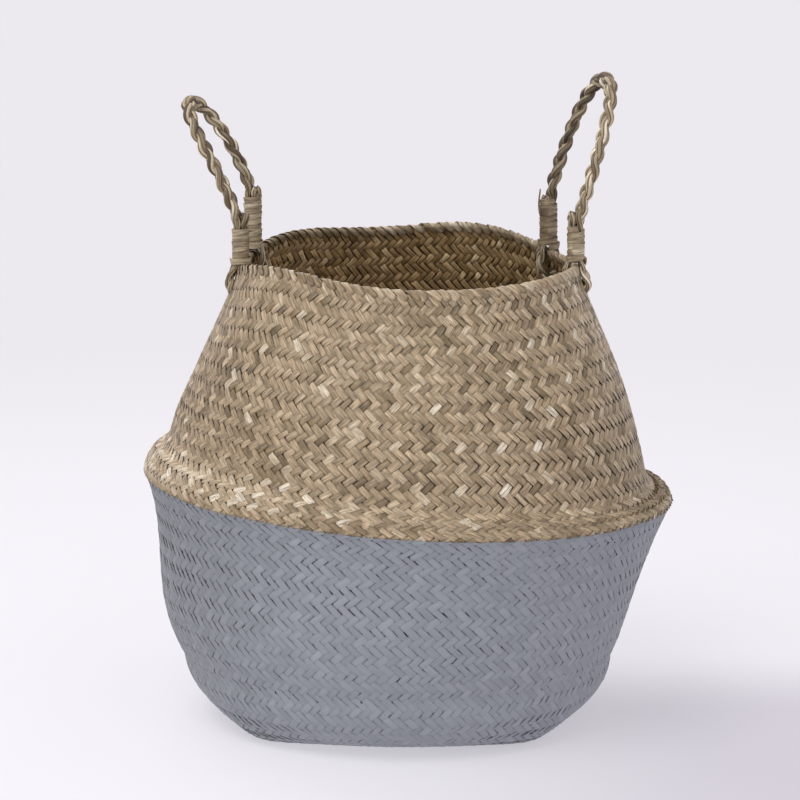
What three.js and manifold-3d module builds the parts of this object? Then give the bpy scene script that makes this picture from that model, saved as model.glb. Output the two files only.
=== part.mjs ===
// A plaited belly basket with two rope handles, each leg of which is bound with a wound strip.
// Millimetres, +Z up. The origin is on the floor under the middle of the belly, and -Y is the front.
// Azimuths are in degrees about +Z, from +X.
import * as THREE from "three";
import { mergeVertices } from "three/addons/utils/BufferGeometryUtils.js";
import Module from "manifold-3d";

// Driving dimensions of the plaited body
const WALL = 3.6;
const GAP = 0.3;
const BASE_HALF_SIDE = 88.5;
const BASE_TURN = -2;
const BASE_SQUARENESS = 10;
const BASE_ROUND = 2;
const SHOULDER_RADIUS = 143;
const SHOULDER_HEIGHT = 40.5;
const BELLY_RADIUS = 175;
const BELLY_HEIGHT = 149;
const LEDGE_WIDTH = 16.4;
const LEDGE_HEIGHT = 21;
const NECK_HEIGHT = 135;
const RIM_RADIUS = 110.5;
const LIP_EDGE = 0.8;
const LIP_FOOT_EDGE = 1.4;
const LIP_RISE = 18;
const LIP_LAP = 5;

// Where the cubic curves of the outer profile bend: a reach in millimetres and a share of the height
const SHOULDER_BEND = { reach: 19, share: 0.32 };
const CREASE_BEND = { reach: 18, share: 0.34 };
const NECK_FOOT_BEND = { reach: 8.6, share: 0.36 };
const MOUTH_BEND = { reach: 13.5, share: 0.3 };
// The ledge's bends, as shares of its width and height
const LEDGE_EDGE_BEND = { reach: 0.05, share: 1.15 };
const LEDGE_TOP_BEND = { reach: 0.75, share: 0.1 };

// The hand-made unevenness of the body
const BASE_SHIFT = -5.4;
const WAIST_SHIFT = -8;
const WAIST_HEIGHT = 65;
const BELLY_TILT_X = -5.6;
const BELLY_TILT_Y = -4.4;
const LEDGE_DROP = 10;
const LEDGE_DROP_FADE = 75;
// The mouth's edge rises and falls as a sum of waves, each with its count of crests round the mouth,
// their height and the azimuth of one of them
const RIM_WAVES = [
  { crests: 1, height: 4.3, azimuth: 109 },
  { crests: 2, height: 2.7, azimuth: 76 },
  { crests: 3, height: 1.7, azimuth: -23 },
  { crests: 4, height: 2.35, azimuth: -38 },
  { crests: 5, height: 1.4, azimuth: -6 },
];

// Folded border round the mouth
const BORDER_WIDTH = 5.6;
const BORDER_HEIGHT = 8;

// Rope legs, bindings and loops of the handles
const ROPE_HALF_THICK = 4.4;
const ROPE_HALF_WIDE = 5.2;
const LEG_HALF_THICK = 3.2;
const LEG_HALF_WIDE = 4.5;
const BOUND_HALF_THICK = 2.2;
const BOUND_HALF_WIDE = 4.1;
const BOUND_OUTSET = 1.2;
const TAIL_HALF_THICK = 1.5;
const LEG_CLEARANCE = 0.8;
const LOOP_SEAT_GAP = 0.45;
const TAIL_LEAN = 0.35;
const BORDER_SHOULDER = 1.5;
const EYE_DEPTH = 12.5;
const BINDING_START = 4.6;
const LEG_ABOVE_BINDING = 4.6;
const STRIP_WIDTH = 3.3;
const STRIP_THICK = 1;
const STRIP_PITCH = 3.8;
const BINDING_SQUARENESS = 3;
const ARCH_FULLNESS = 2.6;
const STRIP_END_LENGTH = 9;
const STRIP_END_RADIUS = 0.7;

// Each handle: its two legs, and its loop's reach from the line that it turns about, its outward lean
// in degrees, and how far it bows inward halfway up
const HANDLES = [
  {
    side: "left",
    legs: [
      { name: "front", azimuth: 186, turns: 5, tail: 6 },
      { name: "back", azimuth: 160, turns: 8, tail: 4 },
    ],
    loopReach: 71,
    loopLean: 29.5,
    loopBow: 2.5,
  },
  {
    side: "right",
    legs: [
      { name: "front", azimuth: -5, turns: 5, tail: 12 },
      { name: "back", azimuth: 31, turns: 7, tail: 2 },
    ],
    loopReach: 83.5,
    loopLean: 19,
    loopBow: 1,
  },
];

// Counts of faces
const AROUND = 64;
const CORNER_RINGS = 5;
const WALL_RINGS = 5;
const LEDGE_RINGS = 6;
const NECK_RINGS = 7;
const BORDER_SIDES = 8;
const ROPE_SIDES = 10;
const LOOP_STEPS = 30;
const STRIP_STEPS = 16;
// Angles of the rings that round off a loop's feet, in degrees from the last full ring
const CAP_ANGLES = [80, 55, 28];

const STRAW = { color: 0xb9a47f, roughness: 0.75, metalness: 0 };
const PAINTED = { color: 0x8f949c, roughness: 0.6, metalness: 0 };
const ROPE = { color: 0xa89870, roughness: 0.8, metalness: 0 };
const STRIP = { color: 0xb3a283, roughness: 0.7, metalness: 0 };

const lowerHeight = BELLY_HEIGHT - SHOULDER_HEIGHT;
const foldFoot = BELLY_HEIGHT + LEDGE_HEIGHT;
const neckFootRadius = BELLY_RADIUS - LEDGE_WIDTH;
const lipTop = foldFoot + LIP_RISE;
const neckFoot = lipTop - LIP_LAP;
const rimHeight = foldFoot + NECK_HEIGHT;
const borderFoot = rimHeight - BORDER_HEIGHT;
// How far out a strand runs beside the border, where it is bound and where it is free
const borderClear = BORDER_WIDTH / 2 + GAP + BOUND_HALF_THICK;
const borderClearFree = BORDER_WIDTH / 2 + GAP + LEG_HALF_THICK;
// Where the binding holds the two strands of a leg, measured outward from the middle of the border
const outerStrand = BOUND_OUTSET + BOUND_HALF_THICK + GAP / 2;
const innerStrand = BOUND_OUTSET - BOUND_HALF_THICK - GAP / 2;

const radians = THREE.MathUtils.degToRad;
const smooth = THREE.MathUtils.smoothstep;
const wasm = await Module();
wasm.setup();

// The outer profiles, as curves of (radius, height)

const lowerCurve = new THREE.CubicBezierCurve(
  new THREE.Vector2(SHOULDER_RADIUS, SHOULDER_HEIGHT),
  new THREE.Vector2(
    SHOULDER_RADIUS + SHOULDER_BEND.reach,
    SHOULDER_HEIGHT + SHOULDER_BEND.share * lowerHeight,
  ),
  new THREE.Vector2(
    BELLY_RADIUS - CREASE_BEND.reach,
    BELLY_HEIGHT - CREASE_BEND.share * lowerHeight,
  ),
  new THREE.Vector2(BELLY_RADIUS, BELLY_HEIGHT),
);

const ledgeCurve = new THREE.CubicBezierCurve(
  new THREE.Vector2(BELLY_RADIUS, BELLY_HEIGHT),
  new THREE.Vector2(
    BELLY_RADIUS - LEDGE_EDGE_BEND.reach * LEDGE_WIDTH,
    BELLY_HEIGHT + LEDGE_EDGE_BEND.share * LEDGE_HEIGHT,
  ),
  new THREE.Vector2(
    neckFootRadius + LEDGE_TOP_BEND.reach * LEDGE_WIDTH,
    foldFoot - LEDGE_TOP_BEND.share * LEDGE_HEIGHT,
  ),
  new THREE.Vector2(neckFootRadius, foldFoot),
);

const neckCurve = new THREE.CubicBezierCurve(
  new THREE.Vector2(neckFootRadius, foldFoot),
  new THREE.Vector2(neckFootRadius - NECK_FOOT_BEND.reach, foldFoot + NECK_FOOT_BEND.share * NECK_HEIGHT),
  new THREE.Vector2(RIM_RADIUS + MOUTH_BEND.reach, rimHeight - MOUTH_BEND.share * NECK_HEIGHT),
  new THREE.Vector2(RIM_RADIUS, rimHeight),
);

// Radius of the neck's outer face at a height, by halving the curve's interval
function neckRadius(height) {
  let low = 0;
  let high = 1;
  for (let step = 0; step < 30; step += 1) {
    const middle = (low + high) / 2;
    if (neckCurve.getPoint(middle).y < height) {
      low = middle;
    } else {
      high = middle;
    }
  }
  return neckCurve.getPoint(low).x;
}

// Half-width of the rounded square base in one direction
function baseRadius(angle) {
  const turned = angle - radians(BASE_TURN);
  const cosine = Math.abs(Math.cos(turned)) ** BASE_SQUARENESS;
  const sine = Math.abs(Math.sin(turned)) ** BASE_SQUARENESS;
  return BASE_HALF_SIDE / (cosine + sine) ** (1 / BASE_SQUARENESS);
}

// Moves a point of the ideal body to its place on the leaning, wavy one
function settle(point) {
  const radius = Math.hypot(point.x, point.y);
  const cosine = radius ? point.x / radius : 0;
  const sine = radius ? point.y / radius : 0;
  const atBelly = smooth(point.z, 0, BELLY_HEIGHT) * (1 - 0.8 * smooth(point.z, BELLY_HEIGHT, rimHeight));
  const atRim = smooth(point.z, lipTop, rimHeight);
  const tilt = (BELLY_TILT_X * cosine + BELLY_TILT_Y * sine) * (radius / BELLY_RADIUS);
  const azimuth = Math.atan2(point.y, point.x);
  const wave = RIM_WAVES.reduce((sum, one) => {
    return sum + one.height * Math.cos(one.crests * (azimuth - radians(one.azimuth)));
  }, 0);
  const aboveLedge = smooth(point.z, foldFoot, foldFoot + LEDGE_DROP_FADE);
  const onLedge = smooth(point.z, BELLY_HEIGHT, foldFoot) * (1 - aboveLedge);
  const drop = LEDGE_DROP * 0.5 * (1 + cosine) * onLedge;
  const atWaist = smooth(point.z, 0, WAIST_HEIGHT);
  const lowShift = BASE_SHIFT + (WAIST_SHIFT - BASE_SHIFT) * atWaist;
  const shift = lowShift * (1 - smooth(point.z, WAIST_HEIGHT, BELLY_HEIGHT));
  return new THREE.Vector3(point.x + shift, point.y, point.z + atBelly * tilt + atRim * wave - drop);
}

function around(angle, radius, height) {
  return new THREE.Vector3(radius * Math.cos(angle), radius * Math.sin(angle), height);
}

// Rings of points joined side to side, the last to the first where closed, else capped by fans
function ringSolid(rings, closed) {
  const sides = rings[0].length;
  const positions = rings.flat().flatMap((point) => [point.x, point.y, point.z]);
  const faces = [];
  const links = closed ? rings.length : rings.length - 1;
  for (let ring = 0; ring < links; ring += 1) {
    const here = ring * sides;
    const there = ((ring + 1) % rings.length) * sides;
    for (let side = 0; side < sides; side += 1) {
      const next = (side + 1) % sides;
      faces.push(here + side, here + next, there + next, here + side, there + next, there + side);
    }
  }
  if (!closed) {
    for (const [ring, flip] of [[0, true], [rings.length - 1, false]]) {
      const centre = new THREE.Vector3();
      rings[ring].forEach((point) => centre.addScaledVector(point, 1 / sides));
      const hub = positions.length / 3;
      positions.push(centre.x, centre.y, centre.z);
      for (let side = 0; side < sides; side += 1) {
        const a = ring * sides + side;
        const b = ring * sides + ((side + 1) % sides);
        faces.push(...(flip ? [hub, b, a] : [hub, a, b]));
      }
    }
  }
  return solidGeometry(positions, faces);
}

function solidGeometry(positions, faces) {
  const geometry = new THREE.BufferGeometry();
  geometry.setAttribute("position", new THREE.Float32BufferAttribute(positions, 3));
  geometry.setIndex(faces);
  return geometry;
}

function toManifold(geometry) {
  const bare = geometry.clone();
  bare.deleteAttribute("normal");
  bare.deleteAttribute("uv");
  const merged = mergeVertices(bare, 1e-5);
  const vertProperties = new Float32Array(merged.attributes.position.array);
  const triVerts = new Uint32Array(merged.index.array);
  return new wasm.Manifold(new wasm.Mesh({ numProp: 3, vertProperties, triVerts }));
}

function toGeometry(solid) {
  const mesh = solid.getMesh();
  return solidGeometry(Array.from(mesh.vertProperties), Array.from(mesh.triVerts));
}

// A wall turned about the axis. outer and inner are profiles of the same length, from foot to top.
function revolvedWall(outer, inner, place) {
  const rings = [];
  for (let index = 0; index < AROUND; index += 1) {
    const angle = (index / AROUND) * 2 * Math.PI;
    const section = [...outer, ...inner.slice().reverse()];
    rings.push(section.map(([radius, height]) => place(angle, radius, height)));
  }
  return ringSolid(rings.map((ring) => ring.slice().reverse()), true);
}

function settled(angle, radius, height) {
  return settle(around(angle, radius, height));
}

// Points along a curve as [radius, height] pairs
function profile(curve, count, start = 0, end = 1) {
  const points = [];
  for (let step = 0; step <= count; step += 1) {
    const point = curve.getPoint(start + ((end - start) * step) / count);
    points.push([point.x, point.y]);
  }
  return points;
}

// Shifts a profile to its inner side by the wall's thickness, level at the ends that are named
function insetProfile(points, thickness, levelStart, levelEnd) {
  return points.map(([radius, height], index) => {
    const [r0, h0] = points[Math.max(index - 1, 0)];
    const [r1, h1] = points[Math.min(index + 1, points.length - 1)];
    const length = Math.hypot(r1 - r0, h1 - h0);
    const level = (levelStart && index === 0) || (levelEnd && index === points.length - 1);
    const inward = level ? -1 : -(h1 - h0) / length;
    const upward = level ? 0 : (r1 - r0) / length;
    return [radius + thickness * inward, height + thickness * upward];
  });
}

// Base panel: the flat rounded square that the basket stands on
function basePanel() {
  const top = [];
  const foot = [];
  for (let index = 0; index < AROUND; index += 1) {
    const angle = (index / AROUND) * 2 * Math.PI;
    const radius = baseRadius(angle) - GAP;
    foot.push(settled(angle, radius, 0));
    top.push(settled(angle, radius, WALL));
  }
  return ringSolid([foot, top], false);
}

// Painted lower wall, from the edge of the base round the corners and up to the crease.
// Near the base its section changes from the rounded square to a circle.
function lowerWall() {
  const top = BELLY_HEIGHT - GAP / 2;
  const rings = [];
  for (let index = 0; index < AROUND; index += 1) {
    const angle = (index / AROUND) * 2 * Math.PI;
    const foot = baseRadius(angle);
    const outer = [];
    for (let step = 0; step < CORNER_RINGS; step += 1) {
      const turn = (step / CORNER_RINGS) * (Math.PI / 2);
      const rise = (1 - Math.cos(turn) ** (2 / BASE_ROUND)) * SHOULDER_HEIGHT;
      const spread = Math.sin(turn) ** (2 / BASE_ROUND);
      outer.push([foot + (SHOULDER_RADIUS - foot) * spread, rise]);
    }
    outer.push(...profile(lowerCurve, WALL_RINGS));
    outer[outer.length - 1][1] = top;
    const inner = insetProfile(outer, WALL, false, true);
    inner[0] = [foot, WALL];
    const section = [...inner, ...outer.reverse()];
    rings.push(section.map(([radius, height]) => settled(angle, radius, height)));
  }
  return ringSolid(rings, true);
}

// Belly fold: the straw ledge above the crease, with a thin lip that laps round the neck's foot
function bellyFold() {
  const outer = profile(ledgeCurve, LEDGE_RINGS);
  outer[0][1] = BELLY_HEIGHT + GAP / 2;
  const inner = insetProfile(outer, WALL, true, false);
  inner[inner.length - 1] = [neckRadius(neckFoot) + 2 * GAP, foldFoot - WALL];
  outer.push([neckRadius(neckFoot) + GAP + LIP_FOOT_EDGE, neckFoot]);
  inner.push([neckRadius(neckFoot) + GAP, neckFoot]);
  outer.push([neckRadius(lipTop) + GAP + LIP_EDGE, lipTop]);
  inner.push([neckRadius(lipTop) + GAP, lipTop]);
  return revolvedWall(outer, inner, settled);
}

// Height of the border's top edge at an azimuth, and the frame of a leg there
function legFrame(azimuth) {
  const angle = radians(azimuth);
  const outward = around(angle, 1, 0);
  const tangent = around(angle + Math.PI / 2, 1, 0);
  const origin = settled(angle, RIM_RADIUS - WALL / 2, rimHeight);
  return { outward, tangent, origin };
}

function inFrame(frame, out, up) {
  return frame.origin.clone().addScaledVector(frame.outward, out).add(new THREE.Vector3(0, 0, up));
}

// A tube of oval section through points, with one section direction given and held along it
function sweptTube(points, side, halves, sides = ROPE_SIDES) {
  const rings = points.map((point, index) => {
    const before = points[Math.max(index - 1, 0)];
    const after = points[Math.min(index + 1, points.length - 1)];
    const along = after.clone().sub(before).normalize();
    const across = side.clone().cross(along).normalize();
    const [thick, wide] = halves(index);
    const ring = [];
    for (let corner = 0; corner < sides; corner += 1) {
      const turn = (corner / sides) * 2 * Math.PI;
      const offset = across.clone().multiplyScalar(thick * Math.cos(turn));
      offset.addScaledVector(side, wide * Math.sin(turn));
      ring.push(point.clone().add(offset));
    }
    return ring;
  });
  return ringSolid(rings, false);
}

function bindingHeight(leg) {
  return leg.turns * STRIP_PITCH;
}

// Top of a leg's outer strand above the border
function legTop(leg) {
  return BINDING_START + bindingHeight(leg) + LEG_ABOVE_BINDING;
}

// The rope leg: down through the binding, outside the wall, through it and up inside to its cut tail.
// Returns stations of [out, up, half thickness, half width] in the leg's frame.
function legStations(leg) {
  const bound = [BOUND_HALF_THICK, BOUND_HALF_WIDE];
  const free = [LEG_HALF_THICK, LEG_HALF_WIDE];
  const wallAt = (down) => neckRadius(rimHeight - down) - (RIM_RADIUS - WALL / 2);
  const fromWall = LEG_CLEARANCE + LEG_HALF_THICK;
  const outside = (down) => Math.max(wallAt(down) + fromWall, borderClearFree);
  const inside = (down) => Math.min(wallAt(down) - WALL - fromWall, -borderClearFree);
  const bindingTop = BINDING_START + bindingHeight(leg);
  const middle = (outside(EYE_DEPTH) + inside(EYE_DEPTH)) / 2;
  const bend = (outside(EYE_DEPTH) - inside(EYE_DEPTH)) / 2;
  const stations = [
    [outerStrand, legTop(leg), ...free],
    [outerStrand, bindingTop + 1, ...bound],
    [outerStrand, (BINDING_START + bindingTop) / 2, ...bound],
    [outerStrand, BINDING_START - 0.2, ...bound],
    [borderClear, -BORDER_SHOULDER, ...bound],
    [outside(BORDER_HEIGHT), -BORDER_HEIGHT, ...free],
    [outside(EYE_DEPTH * 0.7), -EYE_DEPTH * 0.7, ...free],
  ];
  for (let step = 0; step <= 6; step += 1) {
    const turn = (step / 6) * Math.PI;
    stations.push([middle + bend * Math.cos(turn), -EYE_DEPTH - bend * Math.sin(turn), ...free]);
  }
  stations.push(
    [inside(EYE_DEPTH * 0.7), -EYE_DEPTH * 0.7, ...free],
    [inside(BORDER_HEIGHT), -BORDER_HEIGHT, ...free],
    [-borderClear, -BORDER_SHOULDER, ...bound],
    [innerStrand, BINDING_START - 0.2, ...bound],
    [innerStrand, (BINDING_START + bindingTop) / 2, ...bound],
    [innerStrand, bindingTop, ...bound],
    [innerStrand - TAIL_LEAN * leg.tail, bindingTop + leg.tail, TAIL_HALF_THICK, BOUND_HALF_WIDE],
  );
  return stations;
}

function legSolid(leg, margin = 0) {
  const frame = legFrame(leg.azimuth);
  const stations = legStations(leg);
  const points = stations.map(([out, up]) => inFrame(frame, out, up));
  const halves = (index) => [stations[index][2] + margin, stations[index][3] + margin];
  return sweptTube(points, frame.tangent, halves);
}

// Neck wall, from inside the lip up to the border, with a hole for each leg
function neckWall() {
  const outer = [];
  for (let step = 0; step <= NECK_RINGS; step += 1) {
    const height = neckFoot + ((borderFoot - neckFoot) * step) / NECK_RINGS;
    outer.push([neckRadius(height), height]);
  }
  const inner = outer.map(([radius, height]) => [radius - WALL, height]);
  let wall = toManifold(revolvedWall(outer, inner, settled));
  for (const handle of HANDLES) {
    for (const leg of handle.legs) {
      wall = wall.subtract(toManifold(legSolid(leg, GAP)));
    }
  }
  return toGeometry(wall);
}

// Folded border: a flat-footed bead on the neck's top edge
function rimBorder() {
  const rings = [];
  for (let index = 0; index < AROUND; index += 1) {
    const angle = (index / AROUND) * 2 * Math.PI;
    const ring = [];
    for (let side = 0; side < BORDER_SIDES; side += 1) {
      const turn = ((side + 0.5) / BORDER_SIDES) * 2 * Math.PI;
      const out = (BORDER_WIDTH / 2) * Math.cos(turn) / Math.cos(Math.PI / BORDER_SIDES);
      const up = (BORDER_HEIGHT / 2) * (1 + Math.sin(turn) / Math.cos(Math.PI / BORDER_SIDES));
      const height = borderFoot + GAP + up * (1 - GAP / BORDER_HEIGHT);
      ring.push(settled(angle, RIM_RADIUS - WALL / 2 + out, height));
    }
    rings.push(ring.reverse());
  }
  return ringSolid(rings, true);
}

// One centre point of a binding's strip at a number of turns. Seen from above, a turn is a squarish oval.
function stripPoint(frame, turns) {
  const turn = turns * 2 * Math.PI;
  const squared = (value) => Math.sign(value) * Math.abs(value) ** (2 / BINDING_SQUARENESS);
  const out = 2 * BOUND_HALF_THICK + 1.5 * GAP + STRIP_THICK / 2;
  const aside = BOUND_HALF_WIDE + GAP + STRIP_THICK / 2;
  const up = BINDING_START + STRIP_PITCH * (turns + 0.5);
  const centre = inFrame(frame, BOUND_OUTSET + out * squared(Math.cos(turn)), up);
  return centre.addScaledVector(frame.tangent, aside * squared(Math.sin(turn)));
}

// The outward direction of the strip there, square to its path as seen from above
function stripNormal(frame, turns) {
  const step = 0.4 / STRIP_STEPS;
  const along = stripPoint(frame, turns + step).sub(stripPoint(frame, turns - step)).setZ(0);
  return along.cross(new THREE.Vector3(0, 0, 1)).normalize();
}

// Binding: one flat strip wound round both strands of a leg
function binding(leg) {
  const frame = legFrame(leg.azimuth);
  const steps = Math.round((leg.turns - 1) * STRIP_STEPS);
  const rings = [];
  const halfWidth = STRIP_WIDTH / 2;
  const halfThick = STRIP_THICK / 2;
  const section = [
    [-halfThick, -halfWidth * 0.9],
    [-halfThick, halfWidth * 0.9],
    [halfThick * 0.4, halfWidth],
    [halfThick, halfWidth * 0.45],
    [halfThick, -halfWidth * 0.45],
    [halfThick * 0.4, -halfWidth],
  ];
  for (let step = 0; step <= steps; step += 1) {
    const turns = step / STRIP_STEPS;
    const centre = stripPoint(frame, turns);
    const normal = stripNormal(frame, turns);
    rings.push(section.map(([out, up]) => {
      const point = centre.clone().addScaledVector(normal, out);
      return point.add(new THREE.Vector3(0, 0, up));
    }));
  }
  return ringSolid(rings, false);
}

// Least gap between neighbouring turns of a binding, measured on points of the strip's edges
function leastTurnGap(leg) {
  const frame = legFrame(leg.azimuth);
  const edges = [];
  for (let step = 0; step <= (leg.turns - 1) * STRIP_STEPS; step += 1) {
    const centre = stripPoint(frame, step / STRIP_STEPS);
    edges.push([-1, 1].map((end) => centre.clone().setZ(centre.z + (end * STRIP_WIDTH) / 2)));
  }
  let least = Infinity;
  edges.forEach(([, top], index) => {
    edges.slice(index + STRIP_STEPS / 2).forEach(([foot]) => {
      least = Math.min(least, top.distanceTo(foot));
    });
  });
  return least;
}

// The line that a loop turns about: through the round ends of its rope, above the two legs
function hingeEnds(handle) {
  return handle.legs.map((leg) => {
    const up = legTop(leg) + ROPE_HALF_THICK + LOOP_SEAT_GAP;
    return inFrame(legFrame(leg.azimuth), outerStrand, up);
  });
}

// Handle loop: an arch of rope that leans outward, with round ends seated on the legs
function handleLoop(handle) {
  const [front, back] = hingeEnds(handle);
  const middle = front.clone().add(back).multiplyScalar(0.5);
  const halfSpan = back.clone().sub(front).multiplyScalar(0.5);
  const outward = halfSpan.clone().cross(new THREE.Vector3(0, 0, 1)).normalize();
  if (outward.dot(middle) < 0) {
    outward.negate();
  }
  const lean = radians(handle.loopLean);
  const rise = outward.clone().multiplyScalar(handle.loopReach * Math.sin(lean));
  rise.z += handle.loopReach * Math.cos(lean);
  const centres = [];
  for (let step = 0; step <= LOOP_STEPS; step += 1) {
    const turn = (step / LOOP_STEPS) * Math.PI;
    const along = Math.sign(Math.cos(turn)) * Math.abs(Math.cos(turn)) ** (2 / ARCH_FULLNESS);
    const up = Math.sin(turn) ** (2 / ARCH_FULLNESS);
    const bow = handle.loopBow * Math.sin(Math.PI * up);
    const centre = middle.clone().addScaledVector(halfSpan, -along).addScaledVector(rise, up);
    centres.push(centre.addScaledVector(outward, -bow));
  }
  const side = halfSpan.clone().cross(rise).normalize();
  const points = roundedEnds(centres, rise.clone().normalize());
  const halves = (index) => {
    const share = points.scales[index];
    return [ROPE_HALF_WIDE * share, ROPE_HALF_THICK * share];
  };
  return sweptTube(points.centres, side, halves);
}

// Adds rings that close both ends of an arch as half balls below its feet
function roundedEnds(centres, upward) {
  const cap = CAP_ANGLES.map((degrees) => {
    const turn = radians(degrees);
    return [ROPE_HALF_THICK * Math.sin(turn), Math.cos(turn)];
  });
  const first = cap.map(([drop]) => centres[0].clone().addScaledVector(upward, -drop));
  const end = centres[centres.length - 1];
  const last = cap.map(([drop]) => end.clone().addScaledVector(upward, -drop)).reverse();
  const shares = cap.map(([, share]) => share);
  return {
    centres: [...first, ...centres, ...last],
    scales: [...shares, ...centres.map(() => 1), ...shares.slice().reverse()],
  };
}

// Loose end of the strip that stands up beside the right back binding
function stripEnd(leg) {
  const frame = legFrame(leg.azimuth);
  const out = BOUND_OUTSET - 2 * BOUND_HALF_THICK - 1.5 * GAP - STRIP_END_RADIUS - GAP;
  const foot = BINDING_START + bindingHeight(leg) - 2 * STRIP_PITCH;
  const height = 2 * STRIP_PITCH + STRIP_END_LENGTH;
  const start = inFrame(frame, out - STRIP_THICK, foot);
  const length = new THREE.Vector3(0, 0, height);
  const points = [0, 0.5, 1].map((share) => start.clone().addScaledVector(length, share));
  return sweptTube(points, frame.tangent, () => [STRIP_END_RADIUS, STRIP_END_RADIUS], 6);
}

const basket = new THREE.Group();

function add(name, geometry, finish) {
  geometry.computeVertexNormals();
  const mesh = new THREE.Mesh(geometry, new THREE.MeshStandardMaterial(finish));
  mesh.name = name;
  basket.add(mesh);
}

add("base_panel", basePanel(), PAINTED);
add("lower_wall", lowerWall(), PAINTED);
add("belly_fold", bellyFold(), STRAW);
add("neck_wall", neckWall(), STRAW);
add("rim_border", rimBorder(), STRAW);
for (const handle of HANDLES) {
  add(`${handle.side}_handle_loop`, handleLoop(handle), ROPE);
  for (const leg of handle.legs) {
    const name = `${handle.side}_${leg.name}`;
    add(`${name}_leg`, legSolid(leg), ROPE);
    add(`${name}_binding`, binding(leg), STRIP);
    console.log(`${name}_binding: least gap between turns ${leastTurnGap(leg).toFixed(2)} mm`);
  }
  const ends = hingeEnds(handle).map((end) => end.toArray().map((value) => value.toFixed(2)));
  console.log(`${handle.side} hinge`, ends);
}
add("right_back_strip_end", stripEnd(HANDLES[1].legs[1]), STRIP);

export default basket;
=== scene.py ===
import math

import bpy
import numpy as np
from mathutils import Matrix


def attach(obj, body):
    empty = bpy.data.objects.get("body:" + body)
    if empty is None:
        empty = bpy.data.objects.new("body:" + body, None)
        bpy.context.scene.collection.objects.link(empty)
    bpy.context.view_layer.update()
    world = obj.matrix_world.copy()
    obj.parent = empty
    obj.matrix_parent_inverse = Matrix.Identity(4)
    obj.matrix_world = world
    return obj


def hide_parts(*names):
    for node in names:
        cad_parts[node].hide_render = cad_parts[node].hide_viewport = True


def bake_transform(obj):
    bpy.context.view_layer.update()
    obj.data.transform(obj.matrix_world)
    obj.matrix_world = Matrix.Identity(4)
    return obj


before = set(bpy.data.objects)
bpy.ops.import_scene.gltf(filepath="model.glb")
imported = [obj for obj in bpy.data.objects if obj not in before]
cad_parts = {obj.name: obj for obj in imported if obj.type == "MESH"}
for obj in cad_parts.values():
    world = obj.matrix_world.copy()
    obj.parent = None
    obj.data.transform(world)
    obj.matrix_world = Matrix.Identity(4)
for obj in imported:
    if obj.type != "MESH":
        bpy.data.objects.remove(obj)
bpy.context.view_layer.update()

# Lengths are in millimetres until a mesh is made. The origin is under the belly's middle, -Y is the front.
MM = 0.001
WALL = 3.6
GAP = 0.3
BASE_HALF_SIDE = 88.5
BASE_TURN = math.radians(-2)
BASE_SQUARENESS = 10
MEAN_FOOT = BASE_HALF_SIDE * 1.08
SHOULDER_RADIUS, SHOULDER_HEIGHT = 143, 40.5
BELLY_RADIUS, BELLY_HEIGHT = 175, 149
LEDGE_WIDTH, LEDGE_HEIGHT = 16.4, 21
NECK_HEIGHT = 135
RIM_RADIUS = 110.5
LIP_RISE = 18
BASE_SHIFT, WAIST_SHIFT, WAIST_HEIGHT = -5.4, -8, 65
# The belly leans by the tilt, and this share of it is gone again at the mouth
BELLY_TILT_X, BELLY_TILT_Y = -5.6, -4.4
TILT_LOST = 0.8
LEDGE_DROP, LEDGE_DROP_FADE = 10, 75
# The weave turns softly from the ledge into the neck, and the crease rises towards the left
LEDGE_FILLET = 9
CREASE_RISE, CREASE_RISE_FOOT, CREASE_RISE_FADE = 9.5, 60, 62
CREASE_RISE_EDGE = 6
# Waves of the mouth's edge: crests round the mouth, their height, and the azimuth of one of them
RIM_WAVES = ((1, 4.3, 109), (2, 2.7, 76), (3, 1.7, -23), (4, 2.35, -38), (5, 1.4, -6))
BORDER_WIDTH, BORDER_HEIGHT = 5.6, 8

ROPE_HALF_THICK, ROPE_HALF_WIDE = 4.4, 5.2
LEG_HALF_THICK, LEG_HALF_WIDE = 3.2, 4.5
BOUND_HALF_THICK, BOUND_HALF_WIDE = 2.2, 4.1
BOUND_OUTSET = 1.2
BORDER_OVERLAP = 0.6
LEG_CLEARANCE = 0.1
LOOP_SEAT_GAP = 0.45
TAIL_LEAN = 0.04
EYE_DEPTH = 12.5
BINDING_START = 4.6
LEG_ABOVE_BINDING = 4.6
STRIP_THICK = 1
STRIP_PITCH = 3.8
BINDING_SQUARENESS = 3
ARCH_FULLNESS = 2.6

LEDGE_TOP = BELLY_HEIGHT + LEDGE_HEIGHT
NECK_FOOT_RADIUS = BELLY_RADIUS - LEDGE_WIDTH
LIP_TOP = LEDGE_TOP + LIP_RISE
RIM_HEIGHT = LEDGE_TOP + NECK_HEIGHT
BORDER_CLEAR = BORDER_WIDTH / 2 + GAP + BOUND_HALF_THICK
BORDER_CLEAR_FREE = BORDER_WIDTH / 2 - BORDER_OVERLAP + LEG_HALF_THICK
OUTER_STRAND = BOUND_OUTSET + BOUND_HALF_THICK + GAP / 2
INNER_STRAND = BOUND_OUTSET - BOUND_HALF_THICK - GAP / 2

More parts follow.
